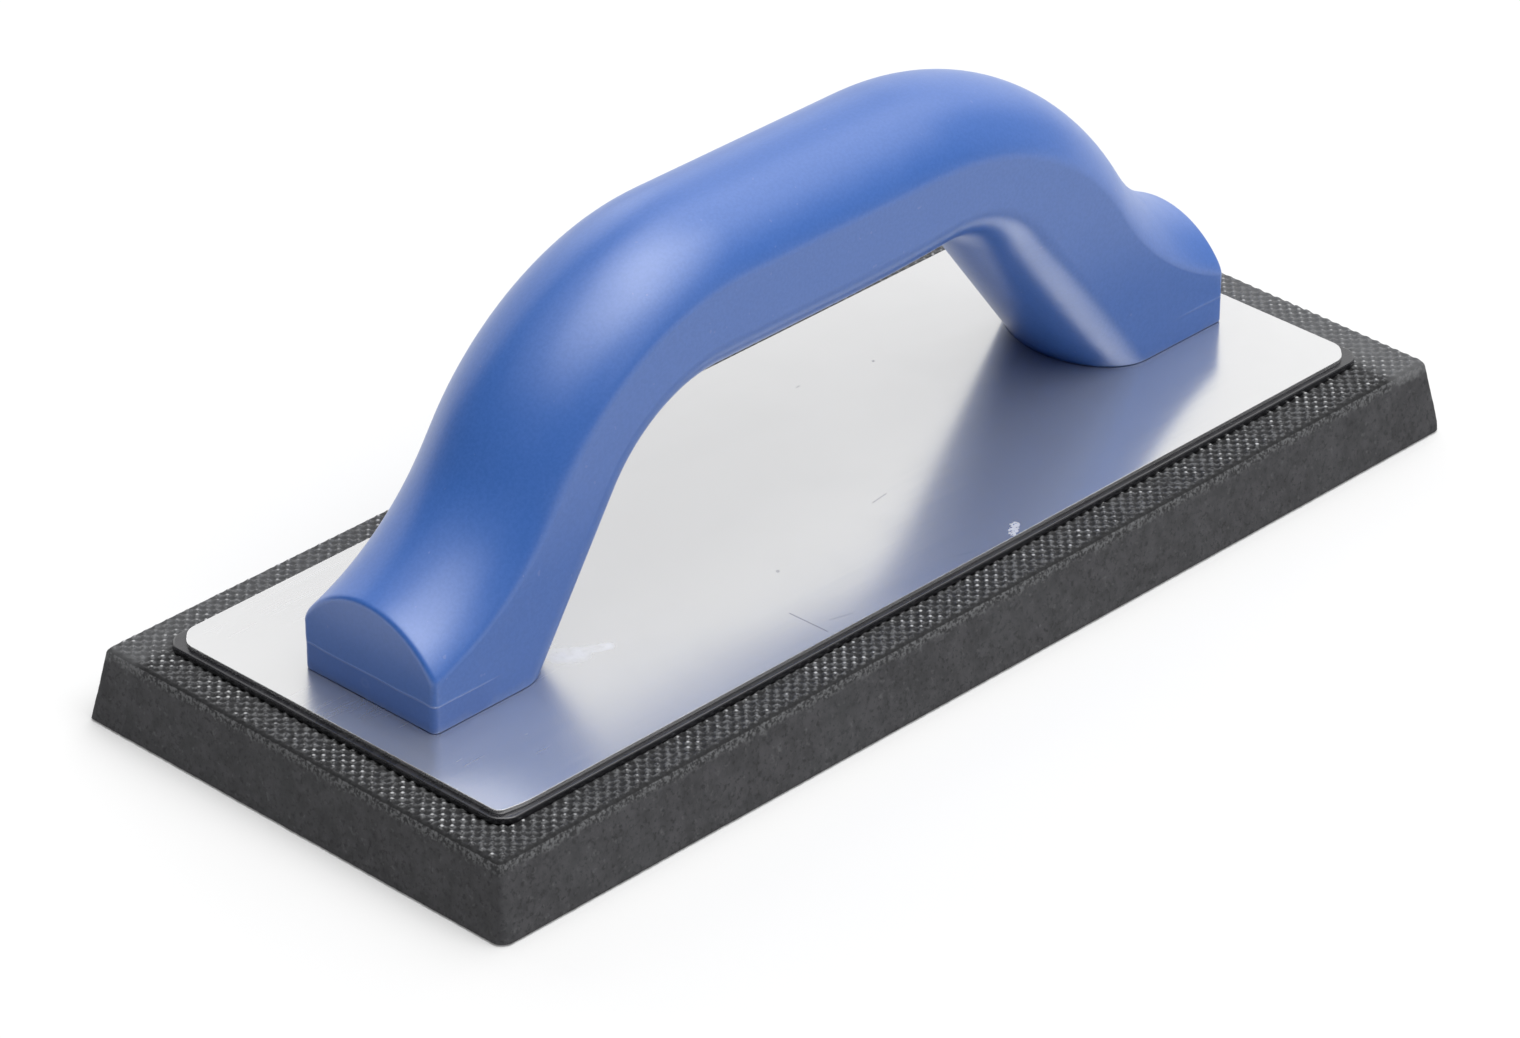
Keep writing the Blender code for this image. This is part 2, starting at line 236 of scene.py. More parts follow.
def half_section(crease, inner, crown_on_foot):
    """One side of the handle's section as (x, y, z), from the crown's middle to the underside's."""
    edge = Vector((crease[0], crease[1]))
    out = Vector((math.sin(crease[2]), math.cos(crease[2])))
    low = Vector((inner[0], inner[1]))
    into = -Vector((math.sin(inner[2]), math.cos(inner[2])))
    share = min(1.0, max(0.0, (edge.x - 30 * MM) / (45 * MM)))
    share = share * share * (3 - 2 * share)
    crown = CROWN_ON_GRIP + share * (crown_on_foot - CROWN_ON_GRIP)
    radius = (HALF_WIDTH**2 + crown**2) / (2 * crown)

    def on_crown(y):
        place = edge + out * (math.sqrt(radius**2 - y**2) - (radius - crown))
        return (place.x, y, place.y)

    points = []
    last = HALF_WIDTH - CREASE_BLEND
    for step in range(CROWN_LINES + 1):
        points.append(on_crown(last * step / CROWN_LINES))
    start = Vector(points[-1])
    corner = Vector((edge.x, HALF_WIDTH, edge.y))
    down = (low - edge).normalized()
    flat_start = edge + down * CREASE_BLEND
    end = Vector((flat_start.x, HALF_WIDTH, flat_start.y))
    for step in range(1, BLEND_LINES + 1):
        t = step / BLEND_LINES
        points.append(tuple(start * (1 - t) ** 2 + corner * (2 * t * (1 - t)) + end * t**2))
    for step in range(1, SIDE_LINES):
        place = flat_start.lerp(low, 0.5 - 0.5 * math.cos(math.pi * step / SIDE_LINES))
        points.append((place.x, HALF_WIDTH, place.y))
    for step in range(UNDERSIDE_LINES + 1):
        angle = math.radians(90) * step / UNDERSIDE_LINES
        place = low + into * (UNDERSIDE_DEPTH * math.sin(angle))
        points.append((place.x, HALF_WIDTH * math.cos(angle), place.y))
    return points


def outline_at(lines, x):
    """Where each line passes x (one value, or one for each line), as (y, z) rows."""
    x = np.broadcast_to(x, (lines.shape[1],))
    places = np.empty((lines.shape[1], 2))
    for index in range(lines.shape[1]):
        along = lines[:, index, 0]
        places[index, 0] = np.interp(x[index], along, lines[:, index, 1])
        places[index, 1] = np.interp(x[index], along, lines[:, index, 2])
    return places


def closed_normals(outline):
    """Outward normals in the plane of a closed outline that runs clockwise seen from +X."""
    ahead = np.roll(outline, -1, axis=0) - np.roll(outline, 1, axis=0)
    normals = np.stack((-ahead[:, 1], ahead[:, 0]), axis=1)
    lengths = np.linalg.norm(normals, axis=1, keepdims=True)
    normals /= np.maximum(lengths, 1e-9)
    centre = outline.mean(axis=0)
    if np.sum(normals * (outline - centre)) < 0:
        normals = -normals
    return normals


def foot(crease_steps, inner_steps, crown_on_foot, end_x):
    """Rows of points from the grip's middle to the foot's end face, whose edge is rounded."""
    pairs = zip(walk(CREASE_Z, crease_steps), walk(INNER_Z, inner_steps))
    rows = []
    for crease, inner in pairs:
        half = half_section(crease, inner, crown_on_foot)
        rows.append(half + [(x, -y, z) for x, y, z in half[-2:0:-1]])
    lines = np.array(rows)
    kept = [k for k in range(len(rows)) if walk(CREASE_Z, crease_steps)[k][0] < end_x - END_STRETCH]
    start = lines[kept[-1]]

    end = outline_at(lines, end_x)
    normals = closed_normals(end)
    behind = outline_at(lines, end_x - 0.5 * MM)
    slope = np.arctan2(np.maximum(0, np.sum((behind - end) * normals, axis=1)), 0.5 * MM)
    low_share = np.clip((WITNESS_Z + 0.4 * MM - end[:, 1]) / (0.8 * MM), 0, 1)
    radius = END_ROUND + (END_ROUND_LOW - END_ROUND) * low_share
    if end_x > MIDDLE_X - TOE_X:
        radius = np.full_like(radius, END_ROUND)
    fillet_x = end_x - radius * (1 - np.sin(slope))

    result = [lines[k] for k in kept]
    for step in range(1, END_ROWS + 1):
        x = start[:, 0] + (fillet_x - start[:, 0]) * step / END_ROWS
        result.append(np.column_stack((x, outline_at(lines, x))))
    for step in range(1, FILLET_ROWS + 1):
        angle = slope + (math.pi / 2 - slope) * step / FILLET_ROWS
        x = end_x - radius * (1 - np.sin(angle))
        inset = radius * (1 / np.cos(slope) - np.tan(slope) * np.sin(angle) - np.cos(angle))
        result.append(np.column_stack((x, outline_at(lines, x) - normals * inset[:, None])))
    inner_ring = result[-1].copy()
    inner_ring[:, 1:] -= normals * 0.3 * MM
    result.append(inner_ring)
    return result


def round_base(shape):
    """Cuts the feet off level with the plate, with a small radius round the bottom edge."""
    cut = HANDLE_BOTTOM + BASE_ROUND
    everything = shape.verts[:] + shape.edges[:] + shape.faces[:]
    bmesh.ops.bisect_plane(
        shape, geom=everything, plane_co=(0, 0, cut), plane_no=(0, 0, -1), clear_outer=True, dist=1e-7
    )
    rim = {edge for edge in shape.edges if edge.is_boundary}
    while rim:
        first = rim.pop()
        loop = [first.verts[0], first.verts[1]]
        while True:
            ahead = next((e for e in loop[-1].link_edges if e in rim), None)
            if ahead is None:
                break
            rim.discard(ahead)
            following = ahead.other_vert(loop[-1])
            if following is loop[0]:
                break
            loop.append(following)
        flat = np.array([vert.co[:2] for vert in loop])
        normals = closed_normals(flat)
        previous = loop
        for step in (1, 2, 3, 4):
            angle = math.radians(30 * min(step, 3))
            inset = BASE_ROUND * (1 - math.cos(angle)) + (0.4 * MM if step == 4 else 0)
            z = cut - BASE_ROUND * math.sin(angle)
            ring = [
                shape.verts.new((x - nx * inset, y - ny * inset, z))
                for (x, y), (nx, ny) in zip(flat, normals)
            ]
            bridge(shape, previous, ring)
            previous = ring
        shape.faces.new(previous)


def make_handle(surface):
    front = foot(FRONT_CREASE, FRONT_INNER, FRONT_CROWN_ON_FOOT, MIDDLE_X - TOE_X)
    rear = foot(REAR_CREASE, REAR_INNER, REAR_CROWN_ON_FOOT, HEEL_X - MIDDLE_X)
    shape = bmesh.new()
    rings = []
    for side, rows in ((-1, front[:0:-1]), (1, rear)):
        for row in rows:
            places = [askew(side * x + MIDDLE_X, y + HANDLE_Y, z) for x, y, z in row]
            rings.append([shape.verts.new(place) for place in places])
    for lower, upper in zip(rings, rings[1:]):
        bridge(shape, lower, upper)
    shape.faces.new(rings[0])
    shape.faces.new(rings[-1])
    bmesh.ops.recalc_face_normals(shape, faces=shape.faces)
    round_base(shape)
    handle = object_from("handle_moulding", shape, surface, sharp_angle=EDGE_ANGLE)
    pilots = [
        turned(
            (
                (SHANK_RADIUS, place.z),
                (SHANK_RADIUS, place.z + PILOT_DEPTH),
                (0.5 * MM, place.z + PILOT_DEPTH + 1 * MM),
            ),
            place,
        )
        for place in screw_places()
    ]
    apply_cutters(handle, pilots)
    return handle


# ------------------------------------------------------------------ sheets
def cut_outline(length, width, cuts):
    """A rectangle with its corners cut off. cuts are those of the corners +X+Y, -X+Y, -X-Y, +X-Y."""
    points = []
    for index, ((side_x, side_y), cut) in enumerate(zip(((1, 1), (-1, 1), (-1, -1), (1, -1)), cuts)):
        along_x = Vector((side_x * (length / 2 - cut.x), side_y * width / 2))
        along_y = Vector((side_x * length / 2, side_y * (width / 2 - cut.y)))
        points += (along_y, along_x) if index % 2 == 0 else (along_x, along_y)
    return points


def softened(points, reach, steps=4):
    """The outline with each corner rounded from `reach` before it to `reach` after it."""
    smooth = []
    for before, corner, after in zip(points[-1:] + points[:-1], points, points[1:] + points[:1]):
        span = min(reach, (before - corner).length / 2.2, (after - corner).length / 2.2)
        start = corner + (before - corner).normalized() * span
        end = corner + (after - corner).normalized() * span
        for step in range(steps + 1):
            t = step / steps
            smooth.append(start * (1 - t) ** 2 + corner * (2 * t * (1 - t)) + end * t**2)
    return smooth


def make_sheet(name, outline, middle, levels, surface):
    """A sheet from (inset, z) levels listed upwards, with the screws' countersinks cut in it."""
    flat = np.array([tuple(askew(*(point + middle)).xy) for point in outline])
    normals = closed_normals(flat)
    shape = bmesh.new()
    rings = []
    for inset, z in levels:
        rings.append([shape.verts.new((x, y, z)) for x, y in flat - normals * inset])
    for lower, upper in zip(rings, rings[1:]):
        bridge(shape, lower, upper)
    shape.faces.new(rings[0])
    shape.faces.new(rings[-1])
    sheet = object_from(name, shape, surface, sharp_angle=EDGE_ANGLE)
    apply_cutters(sheet, list(head_cutters()))
    return sheet


def make_carrier(surface):
    bottom = pad_high[2] + 0.05 * MM
    top = plate_low[2] - 0.03 * MM
    size = Vector(carrier_high) - Vector(carrier_low)
    middle = (Vector(carrier_high) + Vector(carrier_low)).xy / 2
    outline = softened(cut_outline(size.x, size.y, (CARRIER_CORNER_CUT,) * 4), 1.3 * MM)
    levels = [(0.30 * MM, bottom), (0.08 * MM, bottom + 0.08 * MM), (0.0, bottom + 0.2 * MM)]
    for step in range(LIP_STEPS + 1):
        angle = math.radians(90) * step / LIP_STEPS
        levels.append((LIP_WIDTH * (1 - math.cos(angle)), top - LIP_DROP * (1 - math.sin(angle))))
    levels.append((LIP_WIDTH + 0.2 * MM, top))
    return make_sheet("carrier_sheet", outline, middle, levels, surface)


def make_plate(surface):
    size = Vector(plate_high) - Vector(plate_low)
    middle = (Vector(plate_high) + Vector(plate_low)).xy / 2
    cuts = (CORNER_CUT, CORNER_CUT, NEAR_CORNER_CUT, CORNER_CUT)
    outline = softened(cut_outline(size.x, size.y, cuts), 1.7 * MM, steps=6)
    bottom, top = plate_low[2], PLATE_TOP
    burr = 0.02 * MM
    levels = [(burr, bottom), (0.0, bottom + burr), (0.0, top - burr), (0.3 * burr, top - 0.3 * burr)]
    levels += [(burr, top), (burr + 0.08 * MM, top)]
    return make_sheet("backing_sheet", outline, middle, levels, surface)


# ------------------------------------------------------------------ pad
def pad_outline(tuck, share):
    """The pad's outline at that share of its height, counter-clockwise, always as many points."""
    high_x = pad_high[0] - tuck - share * HEEL_LEAN
    low_x = pad_low[0] + tuck + share * TOE_LEAN
    high_y = pad_high[1] - tuck - share * LEFT_LEAN
    low_y = pad_low[1] + tuck + share * RIGHT_LEAN
    long_steps = round(2 * pad_high[0] / PAD_STEP)
    short_steps = round(2 * pad_high[1] / PAD_STEP)
    corner_steps = 8
    points = []
    sides = ((1, 1, long_steps), (-1, 1, short_steps), (-1, -1, long_steps), (1, -1, short_steps))
    low_share = max(0.0, 1 - share * 3) ** 2
    radii = [PAD_CORNER_ABOVE + (radius - PAD_CORNER_ABOVE) * low_share for radius in PAD_CORNERS]
    centres = []
    for (side_x, side_y, _), radius in zip(sides, radii):
        x = high_x - radius if side_x > 0 else low_x + radius
        y = high_y - radius if side_y > 0 else low_y + radius
        centres.append(Vector((x, y)))
    for quarter in range(4):
        radius = radii[quarter]
        for step in range(corner_steps):
            angle = math.radians(90) * (quarter + step / corner_steps)
            points.append(centres[quarter] + radius * Vector((math.cos(angle), math.sin(angle))))
        ahead = (quarter + 1) % 4
        angle = math.radians(90) * (quarter + 1)
        way = Vector((math.cos(angle), math.sin(angle)))
        start = centres[quarter] + radii[quarter] * way
        end = centres[ahead] + radii[ahead] * way
        for step in range(sides[quarter][2]):
            points.append(start.lerp(end, step / sides[quarter][2]))
    return points


def net(place):
    """Height of the knitted net pressed into the pad's top, from -1 in a pit to 1 on a nub."""
    bend = noise.noise(Vector((place.x * 90, place.y * 90, 3.7)))
    s = (place.x + place.y) / math.sqrt(2) + 0.35 * MM * bend
    t = (place.x - place.y) / math.sqrt(2) + 0.30 * MM * bend
    wave = (math.cos(math.tau * s / NET_PITCH) + math.cos(math.tau * t / NET_PITCH)) / 2
    return math.copysign(abs(wave) ** 0.8, wave)


def foam(place, scale):
    return noise.noise(place / scale)


def make_pad(surface):
    """Rings from the underside up the leaning sides, over the edge and in to the carrier."""
    height = pad_high[2]
    side_rows = 15
    levels = [(0.25 * MM, 0.0, 0.0), (0.0, 0.2 * MM / height, 0.0)]
    top_share = 1 - PAD_TOP_ROUND / height
    for step in range(1, side_rows + 1):
        levels.append((0.0, top_share * step / side_rows, 0.0))
    for step in range(1, 6):
        angle = math.radians(18 * step)
        rise = (1 - math.sin(angle)) * PAD_TOP_ROUND / height
        levels.append(((1 - math.cos(angle)) * PAD_TOP_ROUND, 1 - rise, math.sin(angle) ** 2))
    band = pad_high[0] - HEEL_LEAN - PAD_TOP_ROUND - (carrier_high[0] - 2.2 * MM)
    for step in range(1, int(band / PAD_STEP) + 1):
        levels.append((PAD_TOP_ROUND + step * PAD_STEP, 1.0, 1.0))
    deep = levels[-1][0]
    levels += [(deep + 1 * MM, 1.0, 0.0), (deep + 3 * MM, 1.0, 0.0)]

    shape = bmesh.new()
    rings = []
    for tuck, share, netting in levels:
        outline = pad_outline(tuck, share)
        flat = np.array([tuple(point) for point in outline])
        normals = closed_normals(flat)
        ring = []
        for (x, y), (nx, ny) in zip(flat, normals):
            place = Vector((x, y, share * height))
            out = Vector((nx, ny, 0))
            rough = 0.08 * MM * foam(place, 1.1 * MM) + 0.05 * MM * foam(place, 5 * MM)
            if share == 0.0:
                ring.append(shape.verts.new(place))
                continue
            if netting < 1:
                place += out * rough * (1 - netting)
            if netting > 0:
                wear_and_sheen = 0.75 + 0.45 * foam(place, 4 * MM)
                relief = NET_RELIEF * net(place) * min(1.0, max(0.0, wear_and_sheen)) * netting
                ragged = 0.05 * MM * foam(place, 0.5 * MM)
                place += Vector((0, 0, 1)) * (relief + ragged) * netting
                place += out * 0.20 * MM * net(place) * netting * (1 - netting)
            ring.append(shape.verts.new(place))
        rings.append(ring)
    for lower, upper in zip(rings, rings[1:]):
        bridge(shape, lower, upper)
    shape.faces.new(rings[0])
    shape.faces.new(rings[-1])
    return object_from("foam_pad", shape, surface, sharp_angle=180)


# ------------------------------------------------------------------ materials
class Nodes:
    """A material's node tree, with short ways to add and join nodes."""

    def __init__(self, name):
        self.material = bpy.data.materials.new(name)
        self.material.use_nodes = True
        self.tree = self.material.node_tree
        self.shader = self.tree.nodes["Principled BSDF"]
        self.place = self.add("ShaderNodeTexCoord").outputs["Object"]

    def add(self, kind, **settings):
        node = self.tree.nodes.new(kind)
        for key, value in settings.items():
            setattr(node, key, value)
        return node

    def join(self, source, target):
        if hasattr(source, "links"):
            self.tree.links.new(source, target)
        else:
            target.default_value = source

    def noise(self, scale, detail=2.0, roughness=0.5, distortion=0.0, place=None):
        node = self.add("ShaderNodeTexNoise")
        self.join(place or self.place, node.inputs["Vector"])
        node.inputs["Scale"].default_value = scale
        node.inputs["Detail"].default_value = detail
        node.inputs["Roughness"].default_value = roughness
        node.inputs["Distortion"].default_value = distortion
        return node.outputs["Fac"]

    def stretched(self, x, y, z):
        node = self.add("ShaderNodeMapping")
        self.join(self.place, node.inputs["Vector"])
        node.inputs["Scale"].default_value = (x, y, z)
        return node.outputs["Vector"]

    def ramp(self, value, low, high, start=0.0, end=1.0):
        """value from low..high to start..end, smoothly, and held outside."""
        node = self.add("ShaderNodeMapRange", interpolation_type="SMOOTHSTEP")
        self.join(value, node.inputs["Value"])
        for socket, number in zip(("From Min", "From Max", "To Min", "To Max"), (low, high, start, end)):
            node.inputs[socket].default_value = number
        return node.outputs["Result"]

    def math(self, operation, first, second=0.0, third=0.0):
        node = self.add("ShaderNodeMath", operation=operation)
        for socket, value in zip(node.inputs, (first, second, third)):
            self.join(value, socket)
        return node.outputs[0]

    def axes(self):
        node = self.add("ShaderNodeSeparateXYZ")
        self.join(self.place, node.inputs[0])
        return node.outputs

    def mix(self, share, first, second):
        node = self.add("ShaderNodeMix", data_type="RGBA")
        self.join(share, node.inputs["Factor"])
        for socket, colour in zip((node.inputs[6], node.inputs[7]), (first, second)):
            self.join((*colour, 1.0) if isinstance(colour, tuple) else colour, socket)
        return node.outputs[2]

    def bump(self, height, strength, distance, under=None):
        node = self.add("ShaderNodeBump")
        self.join(height, node.inputs["Height"])
        node.inputs["Strength"].default_value = strength
        node.inputs["Distance"].default_value = distance
        if under is not None:
            self.join(under, node.inputs["Normal"])
        return node.outputs["Normal"]

    def stroke(self, start, end, width):
        """1 along a scratch from start to end (object coordinates), 0 away from it."""
        start, end = Vector(start) * MM, Vector(end) * MM
        along = (end - start).normalized()
        offset = self.add("ShaderNodeVectorMath", operation="SUBTRACT")
        self.join(self.place, offset.inputs[0])
        offset.inputs[1].default_value = start
        dot = self.add("ShaderNodeVectorMath", operation="DOT_PRODUCT")
        self.join(offset.outputs[0], dot.inputs[0])
        dot.inputs[1].default_value = along
        reach = self.add("ShaderNodeClamp")
        self.join(dot.outputs["Value"], reach.inputs["Value"])
        reach.inputs["Max"].default_value = (end - start).length
        nearest = self.add("ShaderNodeVectorMath", operation="SCALE")
        nearest.inputs[0].default_value = along
        self.join(reach.outputs[0], nearest.inputs["Scale"])
        gap = self.add("ShaderNodeVectorMath", operation="DISTANCE")
        self.join(offset.outputs[0], gap.inputs[0])
        self.join(nearest.outputs[0], gap.inputs[1])
        return self.ramp(gap.outputs["Value"], 0.3 * width * MM, width * MM, 1.0, 0.0)

    def finish(self, colour, roughness, normal=None, **plain):
        self.join(colour, self.shader.inputs["Base Color"])
        self.join(roughness, self.shader.inputs["Roughness"])
        if normal is not None:
            self.join(normal, self.shader.inputs["Normal"])
        for key, value in plain.items():
            self.shader.inputs[key.replace("_", " ")].default_value = value
        return self.material


# Marks on the handle's right side, in millimetres along X and Z: ends, half-width and strength.
HANDLE_MARKS = (
    ((49.8, 62.9), (54.0, 64.6), 0.25, 0.30),
    ((51.4, 62.0), (53.2, 62.9), 0.20, 0.15),
    ((-91.2, 22.6), (-90.8, 21.2), 0.35, 0.45),
    ((-89.9, 21.9), (-89.6, 21.5), 0.30, 0.35),
)


def blue_plastic():
    n = Nodes("blue_moulded_plastic")
    x, _, z = n.axes()
    mottle = n.noise(180, 3.0, 0.6)
    grain = n.noise(1500, 2.0, 0.6)
    cloud = n.noise(28, 2.0, 0.5)
    colour = n.mix(n.ramp(grain, 0.3, 0.7), (0.040, 0.131, 0.440), (0.051, 0.149, 0.482))
    colour = n.mix(n.ramp(cloud, 0.3, 0.75, 0.0, 0.25), colour, (0.038, 0.123, 0.424))
    specks = n.ramp(n.noise(700, 1.0, 0.5), 0.76, 0.80)
    colour = n.mix(n.math("MULTIPLY", specks, 0.45), colour, (0.16, 0.22, 0.50))

    # The witness line of the mould round the front foot, fading out along its sides, and fainter
    # on the rear one. Its ridge is bumped and also painted lighter, a painted highlight; below it
    # the front foot is painted darker, a painted shade.
    wobble = n.math("MULTIPLY", n.math("SUBTRACT", n.noise(120, 1.0), 0.5), 0.5 * MM)
    offset = n.math("ABSOLUTE", n.math("SUBTRACT", n.math("ADD", z, wobble), WITNESS_Z))
    line = n.ramp(offset, 0.05 * MM, 0.28 * MM, 1.0, 0.0)
    reach = n.ramp(x, TOE_X + 10 * MM, TOE_X + 17 * MM, 1.0, 0.0)
    rear_reach = n.ramp(x, HEEL_X - 16 * MM, HEEL_X - 8 * MM, 0.0, 0.55)
    line = n.math("MULTIPLY", line, n.math("MAXIMUM", reach, rear_reach))
    # Painted highlight: the witness line's ridge is painted lighter where it catches the light.
    colour = n.mix(n.math("MULTIPLY", line, 0.45), colour, (0.16, 0.24, 0.52))
    # Painted shade: the front foot is painted darker below the witness line.
    shade_below_line = n.math("MULTIPLY", n.ramp(z, WITNESS_Z - 0.3 * MM, WITNESS_Z, 1.0, 0.0), reach)
    colour = n.mix(n.math("MULTIPLY", shade_below_line, 0.25), colour, (0.020, 0.070, 0.300))

    # A round gate mark below that line, and scratches on the right side.
    ring_middle = Vector((TOE_X, HANDLE_Y + 0.3 * MM, PLATE_TOP + 3.4 * MM)) / MM
    gate = n.stroke(ring_middle, ring_middle + Vector((0, 0.1, 0)), 1.3)
    hole = n.stroke(ring_middle, ring_middle + Vector((0, 0.1, 0)), 0.8)
    gate = n.math("SUBTRACT", gate, hole)
    colour = n.mix(n.math("MULTIPLY", gate, 0.35), colour, (0.14, 0.21, 0.48))
    side = (HANDLE_Y - HALF_WIDTH) / MM
    for start, end, width, strength in HANDLE_MARKS:
        scratch = n.stroke((start[0], side, start[1]), (end[0], side, end[1]), width)
        colour = n.mix(n.math("MULTIPLY", scratch, strength), colour, (0.24, 0.34, 0.66))
    roughness = n.ramp(mottle, 0.2, 0.8, 0.30, 0.34)
    normal = n.bump(grain, 0.05, 0.04 * MM)
    normal = n.bump(line, 0.6, 0.12 * MM, normal)
    return n.finish(colour, roughness, normal, IOR=1.76)


def foam_rubber():
    n = Nodes("cellular_rubber")
    x, y, z = n.axes()
    cells = n.noise(1100, 3.0, 0.65)
    clumps = n.noise(330, 3.0, 0.6)
    cloud = n.noise(60, 3.0, 0.55)
    dust = n.noise(750, 2.0, 0.6)
    colour = n.mix(n.ramp(clumps, 0.3, 0.72), (0.034, 0.034, 0.037), (0.058, 0.057, 0.062))
    colour = n.mix(n.ramp(cells, 0.50, 0.68, 0.0, 0.85), colour, (0.018, 0.018, 0.020))
    colour = n.mix(n.ramp(dust, 0.58, 0.80, 0.0, 0.50), colour, (0.12, 0.122, 0.126))
    colour = n.mix(n.ramp(cloud, 0.35, 0.75, 0.0, 0.2), colour, (0.070, 0.074, 0.078))
    # The net pressed into the top: light threads, pits painted near black as painted shade, and nubs
    # painted pale as painted glints. It ends raggedly.
    top = pad_high[2]
    border = n.math("ADD", z, n.math("MULTIPLY", n.math("SUBTRACT", n.noise(420, 2.0, 0.6), 0.5), 2.4 * MM))
    netted = n.ramp(border, top - 2.6 * MM, top - 1.2 * MM)
    strands = n.ramp(n.noise(1500, 2.0, 0.6), 0.38, 0.64)
    thread = n.mix(strands, (0.022, 0.022, 0.024), (0.120, 0.122, 0.126))
    colour = n.mix(netted, colour, thread)
    # Painted shade: the low pits of the net are painted near black.
    pit = n.ramp(z, top - 0.16 * MM, top + 0.12 * MM, 1.0, 0.0)
    pit = n.math("MULTIPLY", pit, n.ramp(z, top - 0.62 * MM, top - 0.42 * MM))
    colour = n.mix(n.math("MULTIPLY", pit, 0.92), colour, (0.004, 0.004, 0.005))
    # Painted highlight: the raised nubs are painted pale grey as glints.
    nub = n.ramp(z, top + 0.20 * MM, top + 0.34 * MM)
    colour = n.mix(n.math("MULTIPLY", nub, 0.9), colour, (0.56, 0.565, 0.57))
    # Along the heel, and less so along the left side, the net is painted a pale grey: a painted sheen where
    # the net is seen at a grazing angle.
    heel = n.ramp(x, pad_high[0] - 14 * MM, pad_high[0] - 10 * MM, 0.0, 0.42)
    left = n.ramp(y, pad_high[1] - 12 * MM, pad_high[1] - 9 * MM, 0.0, 0.25)
    wear_and_sheen = n.math("MULTIPLY", n.math("MAXIMUM", heel, left), netted)
    # Painted sheen: the net bands at the heel and left side are painted pale grey.
    colour = n.mix(wear_and_sheen, colour, (0.20, 0.203, 0.21))
    roughness = n.math("SUBTRACT", 0.80, n.math("MULTIPLY", nub, 0.42))
    normal = n.bump(clumps, 0.5, 0.35 * MM)
    normal = n.bump(cells, 0.5, 0.20 * MM, normal)
    return n.finish(colour, roughness, normal, IOR=1.5)


def black_plastic():
    n = Nodes("black_carrier_plastic")
    haze = n.noise(120, 3.0, 0.6)
    grain = n.noise(2400, 2.0, 0.6)
    streaks = n.noise(60, 2.0, 0.6, place=n.stretched(1, 12, 12))
    colour = n.mix(n.ramp(haze, 0.35, 0.7), (0.008, 0.008, 0.011), (0.015, 0.015, 0.019))
    colour = n.mix(n.ramp(grain, 0.68, 0.80, 0.0, 0.15), colour, (0.12, 0.12, 0.125))
    roughness = n.ramp(streaks, 0.3, 0.7, 0.22, 0.32)
    normal = n.bump(grain, 0.08, 0.03 * MM)
    return n.finish(colour, roughness, normal, IOR=1.8)


# Marks on the plate, in millimetres along X and Y: ends, half-width and strength.
PLATE_SCRATCHES = (
    ((-30.9, -29.9), (-30.7, -38.7), 0.22, 0.75),
    ((6.9, -14.0), (10.8, -13.5), 0.25, 0.45),
    ((-22.2, -18.6), (-22.0, -18.4), 0.50, 0.55),
    ((44.5, 21.4), (44.7, 21.6), 0.40, 0.60),
    ((27.6, 24.7), (28.3, 24.8), 0.35, 0.30),
    ((106.2, -7.1), (107.4, -6.9), 0.45, 0.30),
    ((-27.5, -36.4), (-23.4, -37.6), 0.40, 0.22),
    ((3.0, -37.0), (7.4, -38.6), 0.30, 0.20),
)
CHIP = ((16.4, -39.0), (18.9, -37.2), 1.3)
SMUDGES = (
    ((-68.6, -11.4), (-66.2, -13.2), 3.0),
    ((-66.5, -12.5), (-60.6, -15.0), 1.5),
)


def aluminium():
    n = Nodes("mill_finish_aluminium")
    rolled = n.noise(260, 3.0, 0.65, place=n.stretched(0.12, 6, 6))
    grain = n.noise(3000, 2.0, 0.6)
    clouds = n.noise(35, 4.0, 0.6, distortion=0.4)
    spots = n.noise(420, 2.0, 0.5)
    colour = n.mix(n.ramp(clouds, 0.35, 0.75), (0.80, 0.80, 0.803), (0.775, 0.775, 0.778))
    colour = n.mix(n.ramp(spots, 0.74, 0.80, 0.0, 0.35), colour, (0.55, 0.55, 0.56))
    roughness = n.ramp(clouds, 0.3, 0.8, 0.165, 0.185)
    roughness = n.math("ADD", roughness, n.math("MULTIPLY", n.ramp(rolled, 0.3, 0.7), 0.03))
    x = n.axes()[0]
    roughness = n.math("ADD", roughness, n.ramp(x, -70 * MM, -25 * MM, 0.07, 0.0))
    top = PLATE_TOP / MM
    for start, end, width, strength in PLATE_SCRATCHES:
        scratch = n.stroke((*start, top), (*end, top), width)
        colour = n.mix(n.math("MULTIPLY", scratch, strength), colour, (0.36, 0.36, 0.40))
    chip = n.stroke((*CHIP[0], top), (*CHIP[1], top), CHIP[2])
    chip = n.math("MULTIPLY", chip, n.ramp(n.noise(1500, 2.0, 0.6), 0.30, 0.62))
    chip = n.ramp(chip, 0.22, 0.50)
    colour = n.mix(n.math("MULTIPLY", chip, 0.6), colour, (0.98, 0.98, 1.0))
    wiped = 0.0
    for start, end, width in SMUDGES:
        wiped = n.math("MAXIMUM", wiped, n.stroke((*start, top), (*end, top), width))
    wiped = n.math("MULTIPLY", wiped, n.ramp(n.noise(500, 3.0, 0.6), 0.25, 0.60))
    colour = n.mix(n.math("MULTIPLY", wiped, 0.60), colour, (1.0, 1.0, 1.0))
    roughness = n.math("ADD", roughness, n.math("MULTIPLY", n.math("MAXIMUM", chip, wiped), 0.25))
    normal = n.bump(rolled, 0.02, 0.01 * MM)
    normal = n.bump(grain, 0.02, 0.02 * MM, normal)
    return n.finish(colour, roughness, normal, Metallic=0.86)


